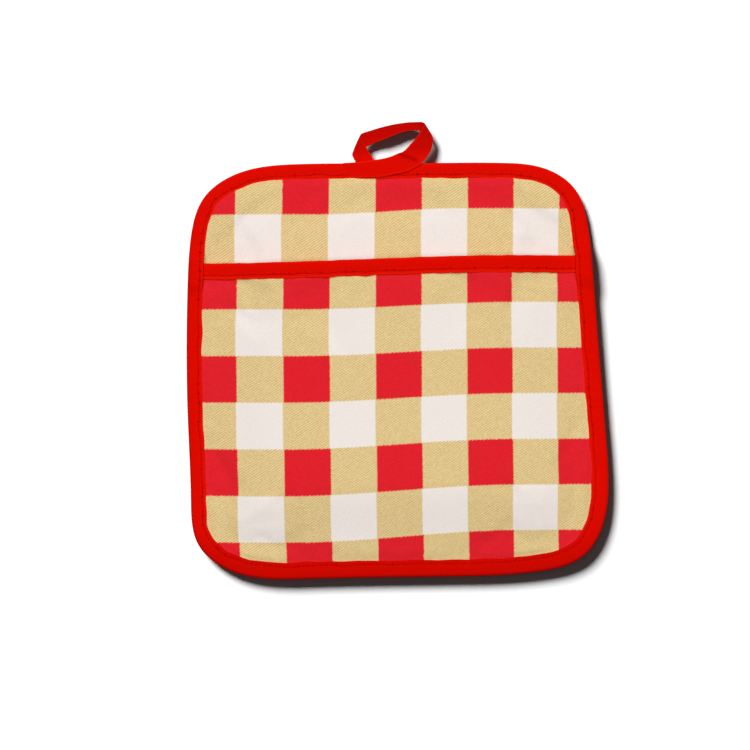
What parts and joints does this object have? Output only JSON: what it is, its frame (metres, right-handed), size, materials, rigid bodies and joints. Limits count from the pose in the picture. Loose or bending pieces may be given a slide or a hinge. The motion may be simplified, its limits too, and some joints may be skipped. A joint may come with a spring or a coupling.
{
  "type": "pocket pot holder",
  "caption": "Padded square pot holder in red, tan and white check cloth, with a hand pocket, red tape binding and a hanging loop.",
  "frame": {"origin": "centre of the pad's flat back face, which rests on the surface", "axes": "+Z out of the pad's front face, +Y towards the hanging loop, +X to the right as seen from the front"},
  "size_m": [0.2038, 0.2211, 0.0151],
  "materials": {
    "check_cloth": "woven cotton check",
    "red_tape": "plain woven cotton tape"
  },
  "bodies": {
    "root": {"pad": "check_cloth", "pocket": "check_cloth", "pocket_binding": "red_tape", "edge_binding": "red_tape", "loop": "red_tape"}
  },
  "joints": []
}
